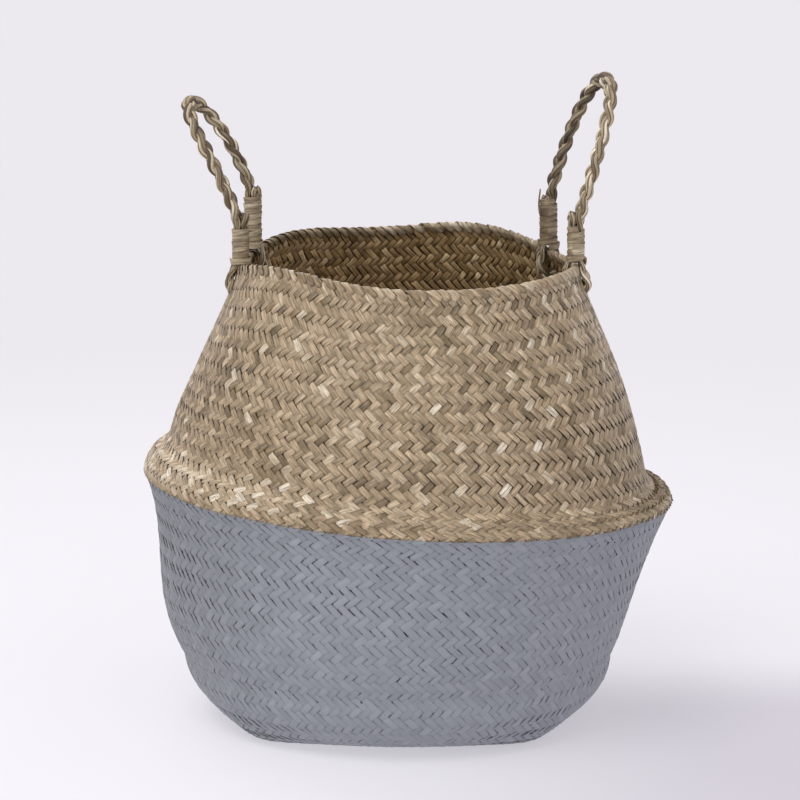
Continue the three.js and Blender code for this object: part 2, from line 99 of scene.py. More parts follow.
# The legs' azimuths in degrees, the turns of their windings with the extra ones lower down (more), their
# tails' lengths and their tones. The loops' reach, lean in degrees and bow, and how much paler each end is.
HANDLES = {
    "left": {
        "legs": [
            {"name": "front", "azimuth": 186, "turns": 5, "tail": 9, "more": 1.0, "tone": 0.5},
            {"name": "back", "azimuth": 160, "turns": 8, "tail": 6, "more": 1.1, "tone": 0.6},
        ],
        "reach": 71, "lean": 29.5, "bow": 2.5, "seed": 1.0, "paler_front": -0.02, "paler_back": -0.02,
    },
    "right": {
        "legs": [
            {"name": "front", "azimuth": -5, "turns": 5, "tail": 10, "more": 1.0, "tone": 0.55},
            {"name": "back", "azimuth": 31, "turns": 7, "tail": 3, "more": 1.3, "tone": 0.2},
        ],
        "reach": 83.5, "lean": 19, "bow": 1, "seed": 2.0, "paler_front": 0.13, "paler_back": -0.16,
    },
}

# The plaiting: strands of each family round the body, the side of its net by height, how much longer a strand
# runs over than under, and how far its middle lies inside the outer face
STRANDS = 138
NET_HEIGHTS = (0, 150, 240, 300)
NET_SIDES = (4.7, 4.7, 4.55, 4.15)
BASE_PITCH = 4.7
LONGER_OVER = 0.12
STRAND_LIFT = 0.8
STRAND_HALF_THICK = 0.45
CENTRE_DEPTH = 1.2

rng = np.random.default_rng(7)


def smooth(x, low, high):
    t = np.clip((x - low) / (high - low), 0, 1)
    return t * t * (3 - 2 * t)


def unit(v):
    return v / np.maximum(np.linalg.norm(v, axis=-1, keepdims=True), 1e-9)


def profile_curve(foot, top, foot_handle, top_handle, count):
    """A curve of the profile between two (radius, height) points. Each handle starts at its own end: the
    change of the radius, and a share of the whole rise."""
    rise = top[1] - foot[1]
    t = np.linspace(0, 1, count)[:, None]
    after_foot = np.array([foot[0] + foot_handle[0], foot[1] + foot_handle[1] * rise])
    before_top = np.array([top[0] + top_handle[0], top[1] - top_handle[1] * rise])
    middle = 3 * t * (1 - t) ** 2 * after_foot + 3 * t * t * (1 - t) * before_top
    return (1 - t) ** 3 * np.array(foot) + middle + t**3 * np.array(top)


WAVE_OCTAVES = 2
SINES_PER_OCTAVE = 3


def wave(x, seed):
    """Smooth noise of a number, about -1 to 1."""
    draw = np.random.default_rng(seed)
    total = np.zeros_like(np.asarray(x, float))
    for octave in range(WAVE_OCTAVES):
        for _ in range(SINES_PER_OCTAVE):
            rate = draw.uniform(0.5, 1.6) * 2**octave
            total += np.sin(np.asarray(x) * rate + draw.uniform(0, 6.28)) / 2**octave
    return total / SINES_PER_OCTAVE


FOOT_POINTS, LOWER_POINTS, LEDGE_POINTS, NECK_POINTS = 70, 120, 60, 160
LEDGE_FOOT_HANDLE, LEDGE_TOP_HANDLE = (-0.04 * LEDGE_WIDTH, 0.5), (0.5 * LEDGE_WIDTH, 0.12)
SHOULDER, BELLY = (SHOULDER_RADIUS, SHOULDER_HEIGHT), (BELLY_RADIUS, BELLY_HEIGHT)
NECK_FOOT, RIM = (NECK_FOOT_RADIUS, LEDGE_TOP), (RIM_RADIUS, RIM_HEIGHT)
lower_curve = profile_curve(SHOULDER, BELLY, (19, 0.32), (-18, 0.34), LOWER_POINTS)
ledge_curve = profile_curve(BELLY, NECK_FOOT, LEDGE_FOOT_HANDLE, LEDGE_TOP_HANDLE, LEDGE_POINTS)
neck_curve = profile_curve(NECK_FOOT, RIM, (-8.6, 0.36), (13.5, 0.3), NECK_POINTS)


def neck_radius(height):
    return np.interp(height, neck_curve[:, 1], neck_curve[:, 0])


def foot_radius(angle):
    turned = angle - BASE_TURN
    n = BASE_SQUARENESS
    return BASE_HALF_SIDE / (np.abs(np.cos(turned)) ** n + np.abs(np.sin(turned)) ** n) ** (1 / n)


# The outer profile as tables against the length along it: radius = FOOT_SHARE * foot_radius + REACH
corner = np.linspace(0, math.pi / 2, FOOT_POINTS)
above_foot = np.concatenate([lower_curve[1:], ledge_curve[1:], neck_curve[1:]])
FOOT_SHARE = np.concatenate([1 - np.sin(corner), np.zeros(len(above_foot))])
REACH = np.concatenate([SHOULDER_RADIUS * np.sin(corner), above_foot[:, 0]])
HEIGHT = np.concatenate([(1 - np.cos(corner)) * SHOULDER_HEIGHT, above_foot[:, 1]])
steps = np.hypot(np.diff(FOOT_SHARE * MEAN_FOOT + REACH), np.diff(HEIGHT))
LENGTH = np.concatenate([[0], np.cumsum(steps)])
CREASE_AT = LENGTH[FOOT_POINTS + LOWER_POINTS - 2]
LEDGE_TOP_AT = LENGTH[FOOT_POINTS + LOWER_POINTS + LEDGE_POINTS - 3]

# The ledge's top is rounded, and the mean radius taken after that
near = np.abs(LENGTH - LEDGE_TOP_AT) < LEDGE_FILLET
t = (LENGTH[near] - LEDGE_TOP_AT) / (2 * LEDGE_FILLET) + 0.5
stations = [LEDGE_TOP_AT - LEDGE_FILLET, LEDGE_TOP_AT, LEDGE_TOP_AT + LEDGE_FILLET]
for table in (REACH, HEIGHT):
    before, tip, after = np.interp(stations, LENGTH, table)
    table[near] = (1 - t) ** 2 * before + 2 * t * (1 - t) * tip + t * t * after
MEAN_RADIUS = FOOT_SHARE * MEAN_FOOT + REACH


def settle(p):
    """Moves points of the ideal body to their place on the leaning, wavy one."""
    x, y, z = p[..., 0], p[..., 1], p[..., 2]
    radius = np.maximum(np.hypot(x, y), 1e-6)
    cosine, sine = x / radius, y / radius
    at_belly = smooth(z, 0, BELLY_HEIGHT) * (1 - TILT_LOST * smooth(z, BELLY_HEIGHT, RIM_HEIGHT))
    at_rim = smooth(z, LIP_TOP, RIM_HEIGHT)
    tilt = (BELLY_TILT_X * cosine + BELLY_TILT_Y * sine) * (radius / BELLY_RADIUS)
    azimuth = np.arctan2(y, x)
    lift = sum(
        height * np.cos(crests * (azimuth - math.radians(crest))) for crests, height, crest in RIM_WAVES
    )
    on_ledge = smooth(z, BELLY_HEIGHT, LEDGE_TOP) * (1 - smooth(z, LEDGE_TOP, LEDGE_TOP + LEDGE_DROP_FADE))
    drop = LEDGE_DROP * 0.5 * (1 + cosine) * on_ledge
    below_crease = smooth(z, CREASE_RISE_FOOT, BELLY_HEIGHT + CREASE_RISE_EDGE)
    above_ledge = smooth(z, LEDGE_TOP - CREASE_RISE_EDGE, LEDGE_TOP + CREASE_RISE_FADE)
    rise = CREASE_RISE * (0.5 * (1 - cosine)) ** 2 * (below_crease * (1 - above_ledge))
    low_shift = BASE_SHIFT + (WAIST_SHIFT - BASE_SHIFT) * smooth(z, 0, WAIST_HEIGHT)
    shift = low_shift * (1 - smooth(z, WAIST_HEIGHT, BELLY_HEIGHT))
    return np.stack([x + shift, y, z + at_belly * tilt + at_rim * lift - drop + rise], -1)


def around(angle, radius, height):
    return np.stack([radius * np.cos(angle), radius * np.sin(angle), height + 0 * angle], -1)


SLOPE_STEP = 1.5


def skin(angle, at, out=0.0):
    """A point of the body's outer face, by its angle and the length along the profile, moved out by out."""
    share, reach, height = (np.interp(at, LENGTH, table) for table in (FOOT_SHARE, REACH, HEIGHT))
    wider, higher = (
        np.interp(at + SLOPE_STEP, LENGTH, table) - np.interp(at - SLOPE_STEP, LENGTH, table)
        for table in (MEAN_RADIUS, HEIGHT)
    )
    size = np.hypot(wider, higher)
    radius = share * foot_radius(angle) + reach + out * higher / size
    return settle(around(angle, radius, height - out * wider / size))


def tube_faces(shape, flip=False):
    """Quads and end caps of closed strips of rings, shape (strips, rings, corners). flip turns them round."""
    index = np.arange(math.prod(shape)).reshape(shape)
    nxt = np.roll(index, -1, axis=2)
    one, other = (index[:, 1:], nxt[:, :-1]) if flip else (nxt[:, :-1], index[:, 1:])
    quads = np.stack([index[:, :-1], one, nxt[:, 1:], other], -1).reshape(-1, 4)
    order = 1 if flip else -1
    return [quads, np.concatenate([index[:, 0, ::order], index[:, -1, ::-order]])]


def sweep(centre, across, outward, section):
    """Closed strips swept along rows of points, shape (strips, points, 3). section is (..., corners, 2):
    its numbers run along across and outward. Returns points and faces."""
    verts = (
        centre[:, :, None]
        + across[:, :, None] * section[..., 0, None]
        + outward[:, :, None] * section[..., 1, None]
    )
    return verts.reshape(-1, 3), tube_faces(verts.shape[:3])


# Section of a flat leaf strand, crowned outside and flatter inside, in halves of its width and thickness
LEAF = np.array(
    [(1, -0.1), (0.92, 0.72), (0.3, 1), (-0.4, 0.95), (-0.92, 0.72), (-1, -0.1), (-0.6, -0.8), (0.6, -0.8)]
)
# How far each corner lies on the outer face: 0 inside, 0.6 at the edges, 1 on top
LEAF_OUT = np.array([0.6, 0.8, 1, 1, 0.8, 0.6, 0, 0])
# Corners where the leaf's faces meet at a crisp line, and how a fold along it lifts and sinks the crown
LEAF_CRISP = (1, 2, 4)
LEAF_FOLD = np.array([0, -0.2, 1, -0.9, -0.3, 0, 0, 0])
# Below this a corner's LEAF_OUT means the inner face
INSIDE = 0.3


def make_mesh(name, verts, faces, marks, material, corners=len(LEAF), crisp=LEAF_CRISP):
    """A mesh piece from rings of points in millimetres, their faces, and point attributes of three numbers.
    The lines through the crisp corners of the rings are sharp edges."""
    mesh = bpy.data.meshes.new(name)
    mesh.vertices.add(len(verts))
    mesh.vertices.foreach_set("co", (verts * MM).astype(np.float32).ravel())
    sizes = np.concatenate([np.full(len(group), group.shape[1], np.int32) for group in faces])
    loops = np.concatenate([np.asarray(group, np.int32).ravel() for group in faces])
    mesh.loops.add(len(loops))
    mesh.loops.foreach_set("vertex_index", loops)
    mesh.polygons.add(len(sizes))
    starts = np.concatenate([[0], np.cumsum(sizes)[:-1]])
    mesh.polygons.foreach_set("loop_start", starts.astype(np.int32))
    mesh.update(calc_edges=True)
    mesh.polygons.foreach_set("use_smooth", np.ones(len(sizes), bool))
    for label, values in marks.items():
        layer = mesh.attributes.new(label, "FLOAT_VECTOR", "POINT")
        layer.data.foreach_set("vector", values.astype(np.float32).ravel())
    ends = np.empty(len(mesh.edges) * 2, np.int32)
    mesh.edges.foreach_get("vertices", ends)
    ends = ends.reshape(-1, 2) % corners
    sharp = (ends[:, 0] == ends[:, 1]) & np.isin(ends[:, 0], crisp)
    mesh.attributes.new("sharp_edge", "BOOLEAN", "EDGE").data.foreach_set("value", sharp)
    mesh.materials.append(material)
    piece = bpy.data.objects.new(name, mesh)
    bpy.context.scene.collection.objects.link(piece)
    return piece


def threes(shape, *values):
    """Three numbers per point, from values that spread over the shape."""
    return np.stack([np.broadcast_to(value, shape) for value in values], -1).reshape(-1, 3)


def leaf_strips(centre, outward, half_width, half_thick, seeds, roll=0.0, fold=0.0, shear=None):
    """Leaf strands along rows of points, with the attributes that their material reads. shear slants the
    sections along the strand, as where its end is cut askew."""
    along = unit(np.gradient(centre, axis=1))
    across = unit(np.cross(along, outward))
    normal = np.cross(across, along)
    if np.any(roll):
        cosine, sine = np.cos(roll)[..., None], np.sin(roll)[..., None]
        across, normal = across * cosine + normal * sine, normal * cosine - across * sine
    fold = np.broadcast_to(fold, centre.shape[:2])[..., None]
    section = np.stack(
        [half_width[..., None] * LEAF[:, 0], half_thick[..., None] * (LEAF[:, 1] + fold * LEAF_FOLD)], -1
    )
    verts, faces = sweep(centre, across, normal, section)
    if shear is not None:
        slid = along[:, :, None] * (shear[..., None] * section[..., 0])[..., None]
        verts = verts + slid.reshape(-1, 3)
    steps = np.linalg.norm(np.diff(centre, axis=1), axis=2)
    length = np.concatenate([np.zeros((len(centre), 1)), np.cumsum(steps, axis=1)], 1)
    full = centre.shape[:2] + (len(LEAF),)
    fibre = threes(full, length[..., None], LEAF[:, 0] * half_width[..., None], seeds[:, None, None])
    return verts, faces, fibre, np.broadcast_to(LEAF_OUT, full).reshape(-1)


def per_corner(values):
    """Values of a strand's sections, repeated for each corner of the leaf."""
    return np.repeat(values.reshape(-1), len(LEAF))


def with_look(part, tone, dark=0.0):
    """A part of leaf_strips() with its corners' look: their tone, how far out they lie, and their shade."""
    verts, faces, fibre, out = part
    return verts, faces, fibre, np.stack([tone + 0 * out, out, dark + 0 * out], -1)


def leaf_mesh(name, parts, material, corners=len(LEAF), crisp=LEAF_CRISP):
    """A mesh piece of (verts, faces, fibre, look) parts."""
    faces = []
    offset = 0
    for part in parts:
        faces += [np.asarray(group) + offset for group in part[1]]
        offset += len(part[0])
    verts, fibre, look = (np.concatenate([part[i] for part in parts]) for i in (0, 2, 3))
    return make_mesh(name, verts, faces, {"fibre": fibre, "look": look}, material, corners, crisp)


# ---- Materials ----


def srgb(r, g, b):
    def lin(c):
        c /= 255
        return c / 12.92 if c <= 0.04045 else ((c + 0.055) / 1.055) ** 2.4

    return (lin(r), lin(g), lin(b), 1)


class Nodes:
    """Short calls for building the node tree of a material or a world."""

    def __init__(self, owner):
        owner.use_nodes = True
        self.owner = owner
        self.tree = owner.node_tree
        self.shader = self.tree.nodes.get("Principled BSDF")

    def put(self, target, value):
        if isinstance(value, bpy.types.NodeSocket):
            self.tree.links.new(value, target)
        else:
            target.default_value = value

    def node(self, kind, output=0, inputs=None, **settings):
        made = self.tree.nodes.new(kind)
        for key, value in settings.items():
            setattr(made, key, value)
        for key, value in (inputs or {}).items():
            self.put(made.inputs[key], value)
        return made.outputs[output]

    def attribute(self, name):
        """A point attribute of three numbers."""
        made = self.tree.nodes.new("ShaderNodeAttribute")
        made.attribute_name = name
        return made.outputs["Vector"]

    def split(self, vector):
        made = self.tree.nodes.new("ShaderNodeSeparateXYZ")
        self.put(made.inputs[0], vector)
        return made.outputs

    def join(self, x, y, z):
        return self.node("ShaderNodeCombineXYZ", inputs={0: x, 1: y, 2: z})

    def math(self, operation, a, b=0.0, clamp=False):
        return self.node("ShaderNodeMath", inputs={0: a, 1: b}, operation=operation, use_clamp=clamp)

    def noise(self, vector, scale, detail=2.0, roughness=0.5):
        inputs = {"Vector": vector, "Scale": scale, "Detail": detail, "Roughness": roughness}
        return self.node("ShaderNodeTexNoise", inputs=inputs)

    def place(self):
        """The point on the object, in metres."""
        return self.tree.nodes.new("ShaderNodeTexCoord").outputs["Object"]

    def soft_step(self, value, low, high):
        inputs = {0: value, 1: low, 2: high, 3: 0.0, 4: 1.0}
        return self.node("ShaderNodeMapRange", inputs=inputs, interpolation_type="SMOOTHSTEP")

    def ramp(self, factor, stops):
        made = self.tree.nodes.new("ShaderNodeValToRGB")
        bar = made.color_ramp
        while len(bar.elements) < len(stops):
            bar.elements.new(0.5)
        for element, (place, colour) in zip(bar.elements, stops):
            element.position = place
            element.color = colour
        self.put(made.inputs[0], factor)
        return made.outputs[0]

    def greys(self, factor, *stops):
        """A ramp between greys, each a (place, value)."""
        return self.ramp(factor, [(place, grey(value)) for place, value in stops])

    def mix(self, factor, a, b, blend="MIX"):
        made = self.tree.nodes.new("ShaderNodeMix")
        made.data_type = "RGBA"
        made.blend_type = blend
        self.put(made.inputs[0], factor)
        self.put(made.inputs[6], a)
        self.put(made.inputs[7], b)
        return made.outputs[2]


def grey(value):
    return (value, value, value, 1)


# Grains of a leaf: their rates along, across and from strand to strand, then the noise's scale and detail
STREAKS = (0.022, 0.13, 17.3, 6.0, 3.0)
FIBRES = (0.04, 0.62, 31.7, 2.6, 3.0)
TONE_PATCHES = (0.045, 0.0, 9.1, 1.0, 2.0)
STAINS = (0.09, 1.0, 5.3, 1.0, 3.0)
COAT = (0.03, 0.25, 1.0, 3.0, 3.0)
WEAR = (0.2, 1.0, 3.1, 1.2, 3.0)
# The inner face is the leaf's browner side, and its tones vary more
INNER_TINT = (1.04, 0.93, 0.72, 1)
PATCH_REACH, INNER_PATCH_REACH = 0.7, 1.1
DIVING_SHADE = srgb(66, 52, 36)
WORN_PAINT = srgb(120, 112, 104)
# Painted shade makes the paint darker towards both sides: where that starts and ends beside the middle of the
# belly, in metres
SIDE_SHADE_MIDDLE = -0.02
PAINTED_SIDE_SHADE = (0.09, 0.17)


def leaf_material(name, ramp, stain, stain_share, groove, rough, edge=0.4, painted=None):
    """Dried leaf: a tone of the ramp per strand, long streaks, fine fibre grooves, stains, and edges darkened
    with painted shade.
    rough goes from the pale streaks to the dark ones. painted is the ramp of a coat on the outer face."""
    n = Nodes(bpy.data.materials.new(name))
    along, side, seed = n.split(n.attribute("fibre"))
    tone, face, dark = n.split(n.attribute("look"))

    def grain(numbers):
        *rates, scale, detail = numbers
        place = [n.math("MULTIPLY", value, rate) for value, rate in zip((along, side, seed), rates)]
        return n.noise(n.join(*place), scale, detail, 0.6)

    streak = grain(STREAKS)
    lines = grain(FIBRES)
    patch = grain(TONE_PATCHES)
    inner = n.math("LESS_THAN", face, INSIDE)
    reach = n.math("ADD", PATCH_REACH, n.math("MULTIPLY", inner, INNER_PATCH_REACH))
    tone = n.math("ADD", tone, n.math("MULTIPLY", n.math("SUBTRACT", patch, 0.5), reach), clamp=True)
    colour = n.ramp(tone, ramp)
    colour = n.mix(1.0, colour, n.greys(streak, (0.3, 0.6), (0.5, 1.0), (0.7, 1.4)), "MULTIPLY")
    colour = n.mix(0.9, colour, n.greys(lines, (0.32, 0.5), (0.5, 1.0), (0.68, 1.4)), "MULTIPLY")
    colour = n.mix(n.greys(grain(STAINS), (stain_share, 0.0), (stain_share + 0.12, 0.55)), colour, stain)
    # Painted shade: the look's third number mixes in DIVING_SHADE where strands dive under, in the rope's
    # valleys and on the border's folds
    colour = n.mix(n.math("MULTIPLY", dark, 0.9), colour, DIVING_SHADE)
    # Painted shade: the outer face darkens towards the leaf's edges, down to edge, as the shade in the gaps
    # between strands; the inner face takes INNER_TINT
    edges = [(0.6, grey(edge)), (0.78, grey(0.5 + 0.5 * edge)), (0.97, grey(1.0))]
    rim = n.ramp(face, [(0.0, INNER_TINT), (INSIDE, INNER_TINT), *edges])
    colour = n.mix(1.0, colour, rim, "MULTIPLY")
    if painted:
        paint = n.math("ADD", n.math("MULTIPLY", tone, 0.6), n.math("MULTIPLY", grain(COAT), 0.4))
        paint = n.ramp(paint, painted)
        paint = n.mix(1.0, paint, n.greys(lines, (0.3, 0.88), (0.6, 1.03)), "MULTIPLY")
        paint = n.mix(n.greys(grain(WEAR), (0.66, 0.0), (0.8, 0.35)), paint, WORN_PAINT)
        # The painted shade at the edges, weaker on the paint
        paint = n.mix(0.45, paint, rim, "MULTIPLY")
        # Painted shade: the paint is darker to the left and right of the belly's middle
        from_middle = n.math("ABSOLUTE", n.math("ADD", n.split(n.place())[0], SIDE_SHADE_MIDDLE))
        side_shade = n.greys(from_middle, (PAINTED_SIDE_SHADE[0], 1.0), (PAINTED_SIDE_SHADE[1], 0.8))
        paint = n.mix(1.0, paint, side_shade, "MULTIPLY")
        colour = n.mix(n.math("GREATER_THAN", face, INSIDE), colour, paint)
    n.put(n.shader.inputs["Base Color"], colour)
    n.put(n.shader.inputs["Roughness"], n.greys(streak, (0.3, rough[1]), (0.7, rough[0])))
    n.shader.inputs["Specular IOR Level"].default_value = 0.5
    bump = n.node("ShaderNodeBump", inputs={"Height": lines, "Strength": groove, "Distance": 0.0004})
    n.put(n.shader.inputs["Normal"], bump)
    return n.owner


def tones(*stops):
    """A ramp's stops, from (place, red, green, blue)."""
    return [(place, srgb(*colour)) for place, *colour in stops]


STRAW_TONES = tones(
    (0.0, 108, 92, 66), (0.22, 141, 122, 93), (0.42, 161, 141, 113),
    (0.6, 175, 153, 124), (0.8, 194, 176, 149), (1.0, 222, 210, 190),
)
ROPE_TONES = tones(
    (0.0, 50, 40, 28), (0.25, 98, 82, 60), (0.5, 148, 130, 103), (0.75, 194, 178, 150), (1.0, 234, 222, 200)
)
STRIP_TONES = tones((0.0, 128, 110, 88), (0.4, 160, 142, 115), (0.7, 180, 164, 137), (1.0, 204, 191, 166))
PAINT_TONES = tones((0.15, 138, 142, 148), (0.5, 148, 152, 159), (0.85, 158, 162, 169))
straw = leaf_material(
    "dried_straw", STRAW_TONES, srgb(158, 104, 66), stain_share=0.6, groove=0.5, rough=(0.36, 0.58)
)
painted = leaf_material(
    "painted_straw", STRAW_TONES, srgb(150, 110, 75), stain_share=0.6, groove=0.2, rough=(0.5, 0.62),
    edge=0.55, painted=PAINT_TONES,
)
rope = leaf_material(
    "rope_leaf", ROPE_TONES, srgb(112, 80, 54), stain_share=0.6, groove=0.6, rough=(0.42, 0.62)
)
strip = leaf_material(
    "binding_leaf", STRIP_TONES, srgb(130, 96, 74), stain_share=0.56, groove=0.5, rough=(0.42, 0.62)
)


def shade_sheet_material(name, dim, bright):
    """The mottled dark of the inner layer: painted shade, standing for the shade behind the slits."""
    n = Nodes(bpy.data.materials.new(name))
    mottle = n.noise(n.place(), 220.0)
    n.put(n.shader.inputs["Base Color"], n.ramp(mottle, [(0.35, dim), (0.65, bright)]))
    n.shader.inputs["Roughness"].default_value = 0.8
    return n.owner


straw_shade_sheet = shade_sheet_material("straw_shade_sheet", srgb(40, 32, 22), srgb(70, 57, 41))
paint_shade_sheet = shade_sheet_material("paint_shade_sheet", srgb(30, 30, 31), srgb(74, 75, 78))

# ---- Camera, floor and light ----

camera = bpy.data.objects.new("camera", bpy.data.cameras.new("camera"))
bpy.context.scene.collection.objects.link(camera)
camera.location = (-0.00537, -2.25541, 0.65968)
camera.rotation_euler = (math.radians(90 - 11.3), 0, 0)
camera.data.sensor_width = 36
camera.data.lens = 156.48
bpy.context.scene.camera = camera

BACKGROUND = srgb(236, 233, 239)


def area_light(name, place, target, size, power, colour=(1, 1, 1)):
    light = bpy.data.lights.new(name, "AREA")
    light.shape = "DISK"
    light.size = size
    light.energy = power
    light.color = colour
    lamp = bpy.data.objects.new(name, light)
    bpy.context.scene.collection.objects.link(lamp)
    lamp.location = place
    direction = np.array(target, float) - np.array(place, float)
    yaw = math.atan2(direction[1], direction[0])
    pitch = math.atan2(direction[2], math.hypot(direction[0], direction[1]))
    lamp.rotation_euler = (math.pi / 2 + pitch, 0, yaw - math.pi / 2)


area_light("key", (-1.0, -1.35, 2.4), (0, 0, 0.15), 1.8, 33, (1, 0.99, 0.975))
area_light("back", (-0.9, 1.5, 2.0), (0, 0, 0.2), 1.8, 20)
area_light("fill", (1.2, -2.0, 1.2), (0, 0, 0.2), 1.8, 8.5, (0.97, 0.98, 1))

# The world's even light, and the plain colour that is seen in its place
world = bpy.data.worlds.new("studio")
bpy.context.scene.world = world
n = Nodes(world)
n.tree.nodes.clear()
rays = n.tree.nodes.new("ShaderNodeLightPath").outputs
shown = n.math("MAXIMUM", rays["Is Camera Ray"], rays["Is Glossy Ray"])
shown = n.math("MAXIMUM", shown, rays["Is Transmission Ray"])
lit = n.node("ShaderNodeBackground", inputs={0: (1, 0.99, 1, 1), 1: 0.6})
seen = n.node("ShaderNodeBackground", inputs={0: BACKGROUND})
choose = n.node("ShaderNodeMixShader", inputs={0: shown, 1: lit, 2: seen})
n.put(n.tree.nodes.new("ShaderNodeOutputWorld").inputs[0], choose)

bpy.context.scene.view_settings.view_transform = "Standard"

# The floor is a disc that fades out into the background, with a painted shadow that darkens it to the right
# front. All in metres.
FLOOR_RADIUS, FLOOR_SIDES, FLOOR_LEVEL = 6, 64, -0.0006
FLOOR_FADE = (0.35, 1.5)
PAINTED_SHADOW_TO_RIGHT = (-0.1, 0.3)
PAINTED_SHADOW_TO_FRONT = (0.14, -0.02)
floor_mesh = bpy.data.meshes.new("floor")
turns = [k * 2 * math.pi / FLOOR_SIDES for k in range(FLOOR_SIDES)]
edge = [(FLOOR_RADIUS * math.cos(turn), FLOOR_RADIUS * math.sin(turn), FLOOR_LEVEL) for turn in turns]
floor_mesh.from_pydata(edge, [], [tuple(range(FLOOR_SIDES))])
floor = bpy.data.objects.new("floor", floor_mesh)
bpy.context.scene.collection.objects.link(floor)
n = Nodes(bpy.data.materials.new("pale_floor"))
spot = n.place()
distance = n.node("ShaderNodeVectorMath", output=1, inputs={0: spot}, operation="LENGTH")
fade = n.soft_step(distance, *FLOOR_FADE)
across, back, _ = n.split(spot)
# Painted shadow: the floor's colour and glow are darker towards the right front
shade = n.math("MULTIPLY", n.soft_step(across, *PAINTED_SHADOW_TO_RIGHT), n.soft_step(back, *PAINTED_SHADOW_TO_FRONT))
n.put(n.shader.inputs["Base Color"], n.mix(shade, srgb(164, 163, 167), srgb(144, 141, 148)))
n.put(n.shader.inputs["Emission Color"], n.mix(shade, srgb(198, 196, 201), srgb(174, 170, 178)))
n.shader.inputs["Emission Strength"].default_value = 0.9
n.shader.inputs["Roughness"].default_value = 0.9
n.shader.inputs["Specular IOR Level"].default_value = 0.1
clear = n.node("ShaderNodeBsdfTransparent")
faded = n.node("ShaderNodeMixShader", inputs={0: fade, 1: n.shader.outputs[0], 2: clear})
n.put(n.tree.nodes["Material Output"].inputs[0], faded)
floor_mesh.materials.append(n.owner)

# ---- The plaited body ----

# Heights of the half rows, by their length along the profile
rows = [0.0]
while rows[-1] < LENGTH[-1]:
    half_space = math.pi * np.interp(rows[-1], LENGTH, MEAN_RADIUS) / STRANDS
    net_side = np.interp(np.interp(rows[-1], LENGTH, HEIGHT), NET_HEIGHTS, NET_SIDES)
    rows.append(rows[-1] + math.sqrt(net_side**2 - half_space**2))
rows = np.array(rows)
row_count = len(rows) - 1
crease_row = float(np.interp(CREASE_AT, rows, np.arange(len(rows))))
strand_tone = rng.uniform(0, 1, (2, STRANDS))
strand_width = rng.normal(0, 0.06, (2, STRANDS))


# Where along two rows a strand has its sections: on top, and close together where it dives under
ROW_PHASES = (0.5, 1.3, 1.5, 1.7)
# No section lies nearer to a strand's end than this, and no row counts as lower than this
ROW_MARGIN = 0.1
LEAST_RISE = 2.4
OVER_STEEPNESS = 4.6
WIDER_OVER, THICKER_OVER = 0.05, 0.12
# Every second strand is wider and paler
EVEN_WIDTH, ODD_WIDTH = 1.06, 0.92
EVEN_TONE, ODD_TONE = 0.3, 0.1
# How the tone varies from strand to strand and from piece to piece, the painted light that makes the ledge
# paler at the left, and the painted shade that darkens a strand where it dives under
STRAND_TONE, PIECE_TONE, LEDGE_PAINTED_LIGHT, DIVING_PAINTED_SHADE = 0.5, 0.19, 0.26, 0.45
SLITS_AT_CREASE = 1.4
# How full the net is, how far strands rise and sink, and how much narrower they are at a slit
LOWER = {"fill": 1.07, "lift": STRAND_LIFT * 0.42, "slits": 0.16}
UPPER = {"fill": 1.03, "lift": STRAND_LIFT * 0.88, "slits": 0.12}
# Unevenness of single strands: how much, its rate along the rows, its step from strand to strand, its seed
UNEVEN = {
    "wobble": (0.22, 0.8, 3.7, 21),
    "bounce": (0.22, 0.9, 5.1, 31),
    "width": (0.06, 0.5, 2.3, 41),
    "slit": (1, 1.3, 11.3, 45),
    "roll": (0.1, 0.7, 1.9, 51),
    "fold": (0.3, 0.45, 4.3, 55),
}


def row_length(k):
    return np.interp(k, np.arange(len(rows)), rows)


def hand_pull(at, angle):
    """How far the rows drift round the body and sag, the same for both families. It fades at the ends."""
    drift = 0.9 * wave(at * 0.09 + 3 * np.cos(angle), 11) + 0.5 * wave(at * 0.21 + 5 * np.sin(angle * 2), 12)
    sag = 0.7 * wave(4 * np.cos(angle + 1) + at * 0.04, 13) + 0.35 * wave(9 * np.sin(angle) + at * 0.07, 14)
    fade = np.minimum(smooth(at, 0, 12), 1 - smooth(at, LENGTH[-1] - 10, LENGTH[-1]))
    return drift * fade, sag * fade


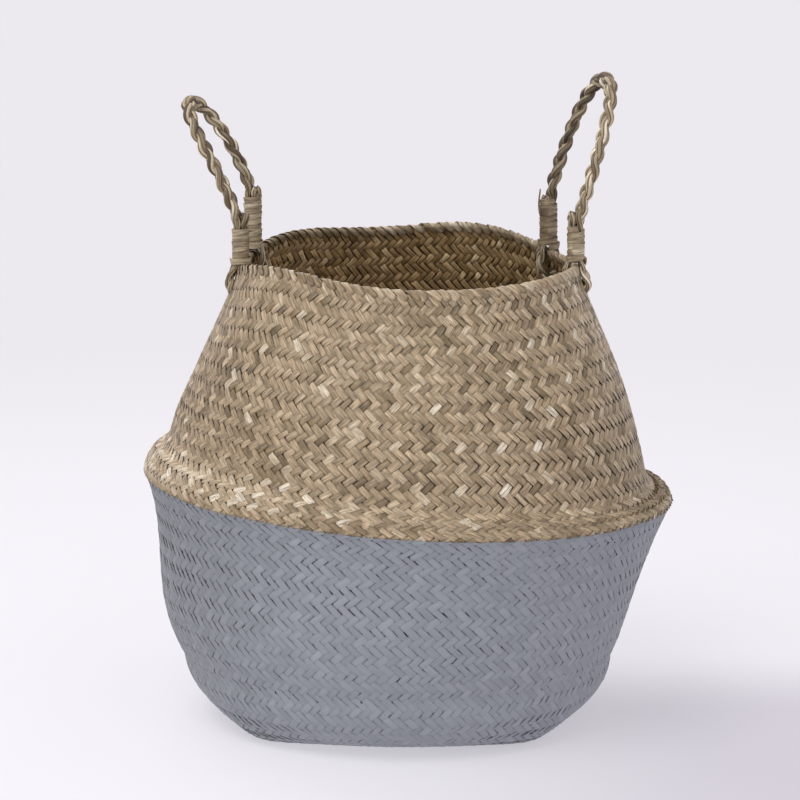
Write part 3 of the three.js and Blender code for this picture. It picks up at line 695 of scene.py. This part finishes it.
def weave(first_row, last_row, numbers, fill, lift, slits):
    """The numbered strands of both families between two rows, as parts for leaf_mesh()."""
    marks = np.sort(np.concatenate([np.arange(0, row_count, 2) + phase for phase in ROW_PHASES]))
    marks = marks[(marks > first_row + ROW_MARGIN) & (marks < last_row - ROW_MARGIN)]
    steps = np.concatenate([[first_row], marks, [last_row]])
    k = np.broadcast_to(steps, (len(numbers), len(steps)))
    strand = numbers[:, None]
    even = strand % 2 == 0
    parts = []
    for family, turn in ((0, 1), (1, -1)):
        uneven = {
            kind: much * wave(k * rate + strand * step, seed + family)
            for kind, (much, rate, step, seed) in UNEVEN.items()
        }
        angle = (turn * k + 2 * strand) * math.pi / STRANDS
        at = row_length(k)
        radius = np.interp(at, LENGTH, MEAN_RADIUS)
        rise = np.maximum(row_length(k + 0.5) - row_length(k - 0.5), LEAST_RISE)
        drift, sag = hand_pull(at, angle)
        angle = angle + drift / radius
        at = np.clip(at + sag, 0, LENGTH[-1])
        over = (np.cos(math.pi / 2 * (k - 0.5)) - LONGER_OVER) * turn
        height = lift * (np.tanh(OVER_STEEPNESS * over) + uneven["bounce"])
        centre = skin(angle + uneven["wobble"] / radius, at, height - CENTRE_DEPTH)
        outward = unit(skin(angle, at, 1.0) - skin(angle, at, -1.0))
        pace = math.pi * radius / STRANDS
        spacing = 2 * pace * rise / np.hypot(pace, rise)
        near_crease = smooth(at, CREASE_AT - 16, CREASE_AT - 3) * (1 - smooth(at, CREASE_AT, CREASE_AT + 2))
        slit = slits * (1 + SLITS_AT_CREASE * near_crease) * smooth(uneven["slit"], 0.55, 0.85)
        own = 1 + strand_width[family][strand] + uneven["width"] - slit
        width = fill * spacing * np.where(even, EVEN_WIDTH, ODD_WIDTH) * own * (1 + WIDER_OVER * over)
        half_thick = STRAND_HALF_THICK * (1 + THICKER_OVER * over)
        # the ends at the crease are cut level
        shear = np.zeros(k.shape)
        for end in (0, -1):
            if 0 < steps[end] < row_count - 1:
                shear[:, end] = turn * pace[:, end] / rise[:, end]
        part = leaf_strips(
            centre, outward, width / 2, half_thick, numbers * 2.0 + family,
            roll=uneven["roll"], fold=uneven["fold"], shear=shear,
        )
        tone = strand_tone[family][strand] * STRAND_TONE + np.where(even, EVEN_TONE, ODD_TONE)
        tone = tone + PIECE_TONE * wave(np.floor((k + 1.5 - 2 * family) / 4) * 2.9 + strand * 7.7, 61)
        above_ledge = smooth(at, LEDGE_TOP_AT - 2, LEDGE_TOP_AT + 10)
        on_ledge = smooth(at, CREASE_AT - 1, CREASE_AT + 4) * (1 - above_ledge)
        # Painted light: the ledge's tone is raised towards the left, as if lit from above there
        tone = tone + LEDGE_PAINTED_LIGHT * on_ledge * smooth(-np.cos(angle), 0.1, 0.8)
        # Painted shade: the outer face darkens where the strand dives under the crossing one
        dark = per_corner(DIVING_PAINTED_SHADE * smooth(-over, -0.25, 0.6)) * (part[3] > INSIDE)
        parts.append(with_look(part, per_corner(np.clip(tone, 0, 1)), dark))
    return parts


THIRDS = 3
for third in range(THIRDS):
    numbers = np.arange(STRANDS * third // THIRDS, STRANDS * (third + 1) // THIRDS)
    piece = leaf_mesh(f"lower_weave_{third + 1}", weave(0, crease_row, numbers, **LOWER), painted)
    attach(piece, "root")
    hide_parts("lower_wall")
    piece = leaf_mesh(f"upper_weave_{third + 1}", weave(crease_row, row_count - 1, numbers, **UPPER), straw)
    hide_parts("belly_fold", "neck_wall")
    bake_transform(piece)

# The inner layer, dark with painted shade, seen only through the slits. Light comes through its holes high at
# the right back.
CORE_HALF_THICK = 0.1
CORE_ROWS = 1.5
CORE_BELOW_MOUTH = 0.5
# The holes' azimuths in degrees, how far down they go, and how many of the places have one
HOLES_FROM, HOLES_TO = 38, 84
HOLES_BELOW_MOUTH = 42
HOLE_SHARE = 0.8
QUAD_CORNERS = ((0, 0), (1, 0), (1, 1), (0, 1))


def inner_layer(name, first_row, last_row, material, holes_above):
    """A thin closed wall inside the weave, with holes above a length along the profile."""
    levels = np.linspace(first_row, last_row, int((last_row - first_row) / CORE_ROWS) + 2)
    at = np.minimum(row_length(levels), LENGTH[-1] - CORE_BELOW_MOUTH)
    at = np.concatenate([at, at[::-1]])
    out = np.repeat([CORE_HALF_THICK, -CORE_HALF_THICK], len(levels)) - CENTRE_DEPTH
    angle = (np.arange(STRANDS) * 2 * math.pi / STRANDS)[:, None]
    grid = skin(angle + 0 * at, at + 0 * angle, out + 0 * angle)
    index = np.arange(grid.shape[0] * grid.shape[1]).reshape(grid.shape[:2])
    ahead, above = np.roll(index, -1, axis=0), np.roll(index, -1, axis=1)
    quads = np.stack([index, ahead, np.roll(ahead, -1, axis=1), above], -1)
    keep = np.ones(quads.shape[:2], bool)
    walls = []
    draw = np.random.default_rng(17)
    for column in range(STRANDS * HOLES_FROM // 360, STRANDS * HOLES_TO // 360, 2):
        for level in range(2, len(levels) - 2, 2):
            if at[level] < holes_above or draw.uniform() > HOLE_SHARE:
                continue
            behind = len(at) - 2 - level
            keep[column, level] = keep[column, behind] = False
            front = [index[column + i, level + j] for i, j in QUAD_CORNERS]
            rear = [index[column + i, behind + 1 - j] for i, j in QUAD_CORNERS]
            walls += [(front[i - 1], front[i], rear[i], rear[i - 1]) for i in range(4)]
    quads = np.concatenate([quads[keep], np.array(walls, int).reshape(-1, 4)])
    return make_mesh(name, grid.reshape(-1, 3), [quads], {}, material, corners=1, crisp=())


piece = inner_layer("lower_weave_shade_sheet", 0, crease_row, paint_shade_sheet, LENGTH[-1])
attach(piece, "root")
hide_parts("lower_wall")
piece = inner_layer("upper_weave_shade_sheet", crease_row, row_count, straw_shade_sheet, LENGTH[-1] - HOLES_BELOW_MOUTH)
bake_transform(piece)
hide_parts("belly_fold", "neck_wall")

# The base: two families of straight strands, slantwise to its sides. They end this far outside its rounded
# square, and lie and swing like this.
BASE_REACH = 0.4
BASE_SINK, BASE_LIFT, BASE_STEEPNESS = 0.2, 0.4, 1.4
BASE_FILL = 0.98
LEAST_SECTIONS = 4
half_count = int(BASE_HALF_SIDE * math.sqrt(2) / BASE_PITCH)
parts = []
for family, turn in ((0, 1), (1, -1)):
    direction = math.radians(90 - 45 * turn) + BASE_TURN
    ahead = np.array([math.cos(direction), math.sin(direction)])
    aside = np.array([-ahead[1], ahead[0]])
    for number in range(-half_count, half_count + 1):
        t = np.arange(-half_count, half_count + 0.01, 0.5)
        flat = aside * (number * BASE_PITCH) + t[:, None] * BASE_PITCH * ahead
        foot = foot_radius(np.arctan2(flat[:, 1], flat[:, 0]))
        inside = np.hypot(flat[:, 0], flat[:, 1]) < foot + BASE_REACH
        if inside.sum() < LEAST_SECTIONS:
            continue
        t, flat = t[inside], flat[inside]
        over = np.cos(math.pi / 2 * (turn * (t - number) - 0.5)) * turn
        z = CENTRE_DEPTH + BASE_SINK - BASE_LIFT * np.tanh(BASE_STEEPNESS * over)
        centre = settle(np.stack([flat[:, 0], flat[:, 1], z], -1))[None]
        down = np.broadcast_to(np.array([0, 0, -1.0]), centre.shape)
        flat_size = np.ones((1, len(t)))
        part = leaf_strips(
            centre, down, flat_size * BASE_FILL * BASE_PITCH / 2, flat_size * STRAND_HALF_THICK,
            np.array([900.0 + number * 2 + family]),
        )
        parts.append(with_look(part, rng.uniform(0.2, 0.8)))
piece = leaf_mesh("base_weave", parts, painted)
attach(piece, "root")
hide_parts("base_panel")

# Its inner layer, dark with painted shade
BASE_CORE_REACH = 0.6
BASE_CORE_MIDDLE = 0.02
angle = np.arange(STRANDS) * 2 * math.pi / STRANDS
low, high = CENTRE_DEPTH - CORE_HALF_THICK, CENTRE_DEPTH + CORE_HALF_THICK
rings = [(BASE_CORE_MIDDLE, low), (1, low), (1, high), (BASE_CORE_MIDDLE, high)]
reach = foot_radius(angle) + BASE_CORE_REACH
grid = np.stack([settle(around(angle, share * reach, z)) for share, z in rings])
faces = tube_faces((1, len(rings), STRANDS), flip=True)
piece = make_mesh("base_weave_shade_sheet", grid.reshape(-1, 3), faces, {}, straw_shade_sheet, corners=1, crisp=())
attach(piece, "root")
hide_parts("base_panel")

# The border: strands come up outside aslant, lie over the mouth's edge and go down inside, each on the last
FOLDS = STRANDS * 3 // 4
FOLD_POINTS = 23
FOLD_RADIUS = 1.75
FOLD_TOP = 0.4
FOLD_REACH = 4.6
FOLD_SLANT = math.radians(40)
FOLD_HALF_WIDTH, FOLD_HALF_THICK = 2.45, 0.4
# Where the fold turns inside the wall, how far one edge lies over the next strand, and how far ends sink in
FOLD_INSET = 0.75 * WALL / 2
FOLD_LAP, FOLD_END_SINK = 0.24, 0.4
# How uneven the folds are, in width, height and place
FOLD_UNEVEN = (0.1, 0.12, 0.16)


def over_edge(along_rim, up_and_over, out):
    """A point on the folded edge: by its way along the rim and over the edge, which is 0 on top."""
    quarter = FOLD_RADIUS * math.pi / 2
    turn = np.clip(up_and_over / FOLD_RADIUS + math.pi / 2, 0, math.pi)
    height = RIM_HEIGHT - FOLD_TOP - FOLD_RADIUS - np.maximum(np.abs(up_and_over) - quarter, 0)
    wall = neck_radius(height) - RIM_RADIUS
    radius = RIM_RADIUS - FOLD_INSET + wall + (FOLD_RADIUS + out) * np.cos(turn)
    return settle(around(along_rim / RIM_RADIUS, radius, height + (FOLD_RADIUS + out) * np.sin(turn)))


def per_fold(much):
    return much * rng.normal(size=(FOLDS, 1, 1))


numbers = np.arange(FOLDS)[:, None, None]
way = np.linspace(-1, 1, FOLD_POINTS)[None, :, None] * (FOLD_REACH + FOLD_RADIUS) / math.sin(FOLD_SLANT)
ends = smooth(np.abs(way), 0.75 * way.max(), way.max())
aside = FOLD_HALF_WIDTH * (1 + per_fold(FOLD_UNEVEN[0])) * (1 - 0.25 * ends) * LEAF[:, 0]
out = FOLD_HALF_THICK * (LEAF[:, 1] + 0.3 * wave(way * 0.3 + numbers * 5.7, 58) * LEAF_FOLD)
out = out + FOLD_LAP * aside - FOLD_END_SINK * ends + per_fold(FOLD_UNEVEN[1])
start = (numbers + per_fold(FOLD_UNEVEN[2])) * 2 * math.pi * RIM_RADIUS / FOLDS
grid = over_edge(
    start - way * math.cos(FOLD_SLANT) + aside * math.sin(FOLD_SLANT),
    way * math.sin(FOLD_SLANT) + aside * math.cos(FOLD_SLANT),
    out,
)
full = grid.shape[:3]
# Painted shade: darker at the folds' tucked ends and on their part that goes down inside
dark = 0.5 * ends + 0.42 * smooth(way * math.sin(FOLD_SLANT), 0.2, 1.6) * (1 - ends)
tone = rng.uniform(0.2, 0.85, (FOLDS, 1, 1))
fibre, look = threes(full, way + 10, aside, 2000.0 + numbers), threes(full, tone, LEAF_OUT, dark)
parts = [(grid.reshape(-1, 3), tube_faces(full, flip=True), fibre, look)]
piece = leaf_mesh("rim_folds", parts, straw)
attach(piece, "neck")
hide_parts("rim_border")

# ---- Handles ----

# The rope's (wide, thick) shares where it is bound and in a free leg, which is a little swollen
LEG_SWELL = 1.12
BOUND = (BOUND_HALF_WIDE / ROPE_HALF_WIDE, BOUND_HALF_THICK / ROPE_HALF_THICK)
FREE = (LEG_SWELL * LEG_HALF_WIDE / ROPE_HALF_WIDE, LEG_SWELL * LEG_HALF_THICK / ROPE_HALF_THICK)
BOUND_FROM = -1.5
EYE_BEND_UP = EYE_DEPTH * 0.7
EYE_POINTS = 7
MID_WALL_RADIUS = RIM_RADIUS - WALL / 2


class Leg:
    """A rope leg's place: its frame at the rim, and the CAD leg's stations."""

    def __init__(self, spec):
        self.spec = spec
        angle = math.radians(spec["azimuth"])
        self.out = np.array([math.cos(angle), math.sin(angle), 0])
        self.side = np.array([-math.sin(angle), math.cos(angle), 0])
        self.origin = settle(MID_WALL_RADIUS * self.out + np.array([0, 0, RIM_HEIGHT]))
        self.binding_top = BINDING_START + spec["turns"] * STRIP_PITCH
        self.top = self.binding_top + LEG_ABOVE_BINDING

    def place(self, out, up, aside=0.0):
        out, up, aside = (np.asarray(v, float)[..., None] for v in (out, up, aside))
        return self.origin + out * self.out + aside * self.side + up * np.array([0, 0, 1.0])

    def wall_at(self, down):
        return float(neck_radius(RIM_HEIGHT - down)) - MID_WALL_RADIUS

    def outside(self, down):
        return max(self.wall_at(down) + LEG_CLEARANCE + LEG_HALF_THICK, BORDER_CLEAR_FREE)

    def inside(self, down):
        return min(self.wall_at(down) - WALL - LEG_CLEARANCE - LEG_HALF_THICK, -BORDER_CLEAR_FREE)

    def eye(self):
        """The half turn through the wall, from outside to inside, as (out, up)."""
        middle = (self.outside(EYE_DEPTH) + self.inside(EYE_DEPTH)) / 2
        bend = (self.outside(EYE_DEPTH) - self.inside(EYE_DEPTH)) / 2
        turns = np.linspace(0, math.pi, EYE_POINTS)
        return [(middle + bend * math.cos(a), -EYE_DEPTH - bend * math.sin(a)) for a in turns]

    def line(self, half_eye, beside, border_clear, strand, *ends):
        """A strand's line from the eye's middle up beside the wall, through the binding, to its ends."""
        stations = [(*point, FREE) for point in half_eye] + [
            (beside(EYE_BEND_UP), -EYE_BEND_UP, FREE),
            (beside(BORDER_HEIGHT), -BORDER_HEIGHT, FREE),
            (border_clear, BOUND_FROM, BOUND),
            (strand, BINDING_START, BOUND),
            (strand, self.binding_top, BOUND),
            *((*end, FREE) for end in ends),
        ]
        return [(self.place(out, up), self.out, shares) for out, up, shares in stations]

    def hinge(self):
        return self.place(OUTER_STRAND, self.top + ROPE_HALF_THICK + LOOP_SEAT_GAP)


def resample(line, step, soften):
    """Evenly spaced points along a bent line of (point, direction, shares), softened, with their values."""
    both = np.array([[*point, *direction, *shares] for point, direction, shares in line])
    at = np.concatenate([[0], np.cumsum(np.linalg.norm(np.diff(both[:, :3], axis=0), axis=1))])
    count = int(at[-1] / step) + 1
    s = np.linspace(0, at[-1], count)
    dense = np.stack([np.interp(s, at, both[:, i]) for i in range(both.shape[1])], 1)
    reach = max(1, int(soften / step))
    for _ in range(2):
        padded = np.concatenate([dense[:1].repeat(reach, 0), dense, dense[-1:].repeat(reach, 0)])
        kernel = np.ones(2 * reach + 1) / (2 * reach + 1)
        dense = np.stack([np.convolve(padded[:, i], kernel, "valid") for i in range(both.shape[1])], 1)
    return dense[:, :3], dense[:, 3:], s


ROPE_STEP = 0.9
PLAIT_STRANDS = 3
PLAIT_PERIOD = 37.0
# How far the strands swing aside and out, and their own half width and thickness
PLAIT_SWING, PLAIT_RISE = 2.45, 1.6
BUNDLE_HALF_WIDTH, BUNDLE_HALF_THICK = 2.8, 2.4
# Each strand of the plait is a bundle of leaves: lobes round its section, with a valley between each two
LOBES = 5
LOBE_CORNERS = 4
CORNERS = LOBES * LOBE_CORNERS
VALLEYS = tuple(range(LOBE_CORNERS // 2, CORNERS, LOBE_CORNERS))
VALLEY_RADIUS, RIDGE_RISE = 0.8, 0.22


def plait(points, values, s, seed, phase=0.0, paler=0.0):
    """Three leaf-bundle strands plaited round a line, as parts for leaf_mesh(). values are, for each point,
    the direction of the plait's flat side and its (wide, thick) shares."""
    refs, wide_share, thick_share = unit(values[:, :3]), values[:, 3:4], values[:, 4:5]
    along = unit(np.gradient(points, axis=0))
    side = unit(np.cross(along, refs))
    flat = np.cross(side, along)
    parts = []
    corner_turn = np.arange(CORNERS) * 2 * math.pi / CORNERS
    ridge = np.abs(np.cos(LOBES / 2 * corner_turn))
    lobe = np.floor(LOBES * corner_turn / (2 * math.pi) + 0.5) % LOBES
    shape = (len(s), CORNERS)
    s = s[:, None]
    for strand in range(PLAIT_STRANDS):
        loose = 0.18 * wave(s * 0.12 + strand * 5 + seed, 60)
        a = 2 * math.pi * (s / PLAIT_PERIOD + strand / PLAIT_STRANDS) + phase + loose
        aside = PLAIT_SWING * np.sin(a) * wide_share
        centre = points + aside * side + PLAIT_RISE * np.sin(2 * a) * thick_share * flat
        own = unit(np.gradient(centre, axis=0))
        across = unit(np.cross(own, flat))
        normal = np.cross(across, own)
        twist = 0.07 * s * (1 if strand % 2 else -1) + seed * 1.7 + strand * 2.1
        uneven = 1 + 0.07 * wave(s * 0.3 + strand * 9 + seed, 61)
        leaf = 1 + 0.1 * wave(lobe * 3.7 + s * 0.06 + strand * 5, 62)
        r = (VALLEY_RADIUS + RIDGE_RISE * ridge**0.7) * uneven * leaf * (1 - 0.1 * np.cos(2 * a))
        local = corner_turn + twist
        wide = BUNDLE_HALF_WIDTH * np.cos(local) * r * wide_share
        thick = BUNDLE_HALF_THICK * np.sin(local) * r * thick_share
        verts, faces = sweep(centre[None], across[None], normal[None], np.stack([wide, thick], -1)[None])
        leaf_seed = seed * 10 + strand + 3000.0 + lobe * 0.37
        tone = 0.5 * wave(lobe * 4.1 + s * 0.035 + strand * 7 + seed * 3, 71)
        tone = 0.5 + np.reshape(paler, (-1, 1)) + tone
        fibre = threes(shape, s, corner_turn * BUNDLE_HALF_WIDTH, leaf_seed)
        # Painted shade: the look's third number darkens the valleys between the leaves of each bundle
        parts.append((verts, faces, fibre, threes(shape, np.clip(tone, 0, 1), 1.0, (1 - ridge) ** 3)))
    return parts


ARCH_POINTS = 31
# How far the bends of the rope are softened, in the loop with its legs and in a tail
ARCH_SOFTEN, TAIL_SOFTEN = 4.0, 3.0
# A tail leans over within the first length above its binding, and is softened shorter by the second
TAIL_BEND, TAIL_SPARE = 3, 1.5


def handle_rope(side_name, spec):
    """The rope from the middle of one leg's eye over the loop to the other's."""
    front, back = (Leg(leg) for leg in spec["legs"])

    def leg_line(leg):
        """From the eye's middle up the outside to the top of the leg."""
        half_eye = leg.eye()[EYE_POINTS // 2 :: -1]
        return leg.line(half_eye, leg.outside, BORDER_CLEAR, OUTER_STRAND, (OUTER_STRAND, leg.top))

    a, b = front.hinge(), back.hinge()
    middle, half_span = (a + b) / 2, (b - a) / 2
    outward = unit(np.cross(half_span, [0, 0, 1.0]))
    outward *= np.sign(outward @ middle)
    lean = math.radians(spec["lean"])
    rise = outward * spec["reach"] * math.sin(lean) + np.array([0, 0, spec["reach"] * math.cos(lean)])
    face = unit(np.cross(half_span, rise))
    face *= np.sign(face @ outward)
    arch = []
    for turn in np.linspace(0, math.pi, ARCH_POINTS):
        along = math.copysign(abs(math.cos(turn)) ** (2 / ARCH_FULLNESS), math.cos(turn))
        up = math.sin(turn) ** (2 / ARCH_FULLNESS)
        bow = spec["bow"] * math.sin(math.pi * up)
        arch.append((middle - half_span * along + rise * up - outward * bow, face, (1, 1)))
    points, values, s = resample(leg_line(front) + arch + leg_line(back)[::-1], ROPE_STEP, ARCH_SOFTEN)
    share = s / s[-1]
    paler = spec["paler_front"] * (1 - smooth(share, 0.35, 0.6))
    paler = paler + spec["paler_back"] * smooth(share, 0.45, 0.65)
    parts = plait(points, values, s, spec["seed"], paler=paler)
    piece = leaf_mesh(f"{side_name}_rope", parts, rope, CORNERS, VALLEYS)
    nodes = [f"{side_name}_handle_loop"] + [f"{side_name}_{leg['name']}_leg" for leg in spec["legs"]]
    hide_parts(*nodes)
    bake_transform(piece)


def leg_tail(name, leg, seed):
    """The rope's end: from the eye's middle up inside the wall, through the binding to its flat cut."""
    tail = leg.spec["tail"]
    leant = INNER_STRAND - TAIL_LEAN * tail
    ends = [(leant, leg.binding_top + up) for up in (TAIL_BEND, tail + TAIL_SPARE)]
    line = leg.line(leg.eye()[EYE_POINTS // 2 :], leg.inside, -BORDER_CLEAR, INNER_STRAND, *ends)
    points, values, s = resample(line, ROPE_STEP, TAIL_SOFTEN)
    piece = leaf_mesh(f"{name}_tail", plait(points, values, s, seed, phase=1.0), rope, CORNERS, VALLEYS)
    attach(piece, "neck")


# Steps per turn of the strip, how far its middle lies off the rope beside the gap, and its size
TURN_STEPS = 22
STRIP_OFF = 0.35
STRIP_HALF_WIDTH, STRIP_HALF_THICK = 2.25, 0.42


def squared(v):
    return np.sign(v) * np.abs(v) ** (2 / BINDING_SQUARENESS)


def winding(name, leg, seed):
    """The flat strip wound round both strands of a leg, each turn lapping the one below."""
    first, last = -leg.spec["more"] * TURN_STEPS, (leg.spec["turns"] - 0.25) * TURN_STEPS
    t = np.arange(first, last + 1) / TURN_STEPS
    turn = t * 2 * math.pi
    slack = 0.25 * wave(turn * 1.3, 80 + seed) + 0.12 * wave(turn * 4.1, 90 + seed)
    out = 2 * BOUND_HALF_THICK + 1.5 * GAP + STRIP_OFF + slack
    aside = BOUND_HALF_WIDE + GAP + STRIP_OFF + slack
    up = BINDING_START - 0.3 + STRIP_PITCH * (t + 0.4) + 0.45 * wave(turn * 0.9, 100 + seed)
    # wider at the foot, where the rope comes apart
    spread = 0.5 * np.maximum(BINDING_START + 1 - up, 0)
    out, aside = out + spread, aside + 0.6 * spread
    centre = leg.place(BOUND_OUTSET + out * squared(np.cos(turn)), up, aside * squared(np.sin(turn)))
    hub = leg.place(BOUND_OUTSET + 0 * t, up)
    half_width = STRIP_HALF_WIDTH * (1 + 0.14 * wave(turn * 0.8, 110 + seed))
    part = leaf_strips(
        centre[None], unit(centre - hub)[None], half_width[None], np.full((1, len(t)), STRIP_HALF_THICK),
        np.array([4000.0 + seed]), roll=(-0.15 + 0.1 * wave(turn * 0.7, 115 + seed))[None],
        fold=0.3 * wave(turn * 0.6, 117 + seed)[None],
    )
    tone = leg.spec["tone"] + 0.35 * wave(np.floor(t + 0.3) * 3.3 + seed, 120)
    piece = leaf_mesh(f"{name}_winding", [with_look(part, per_corner(np.clip(tone, 0, 1)))], strip)
    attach(piece, "neck")
    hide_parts(f"{name}_binding")


for side_index, (side_name, spec) in enumerate(HANDLES.items()):
    handle_rope(side_name, spec)
    for leg_index, leg_spec in enumerate(spec["legs"]):
        leg, name, seed = Leg(leg_spec), f"{side_name}_{leg_spec['name']}", side_index * 2 + leg_index
        leg_tail(name, leg, 5.0 + seed)
        winding(name, leg, seed)

# The loose end of strip beside the right back winding
leg = Leg(HANDLES["right"]["legs"][1])
LOOSE_POINTS, LOOSE_TURNS, LOOSE_RISE = 14, 2, 9
foot = leg.binding_top - LOOSE_TURNS * STRIP_PITCH
t = np.linspace(0, 1, LOOSE_POINTS)
out = BOUND_OUTSET - 2 * BOUND_HALF_THICK - 2.5 * GAP - STRIP_THICK - 0.7 - 0.6 * np.sin(3 * t)
centre = leg.place(out, foot + (LOOSE_TURNS * STRIP_PITCH + LOOSE_RISE) * t, 0.5 * np.sin(5 * t))[None]
outward = np.broadcast_to(-leg.out, centre.shape)
thick = np.full((1, LOOSE_POINTS), 0.4)
part = leaf_strips(centre, outward, (0.95 - 0.35 * t)[None], thick, np.array([5000.0]))
piece = leaf_mesh("right_back_loose_end", [with_look(part, 0.3)], strip)
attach(piece, "neck")
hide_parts("right_back_strip_end")
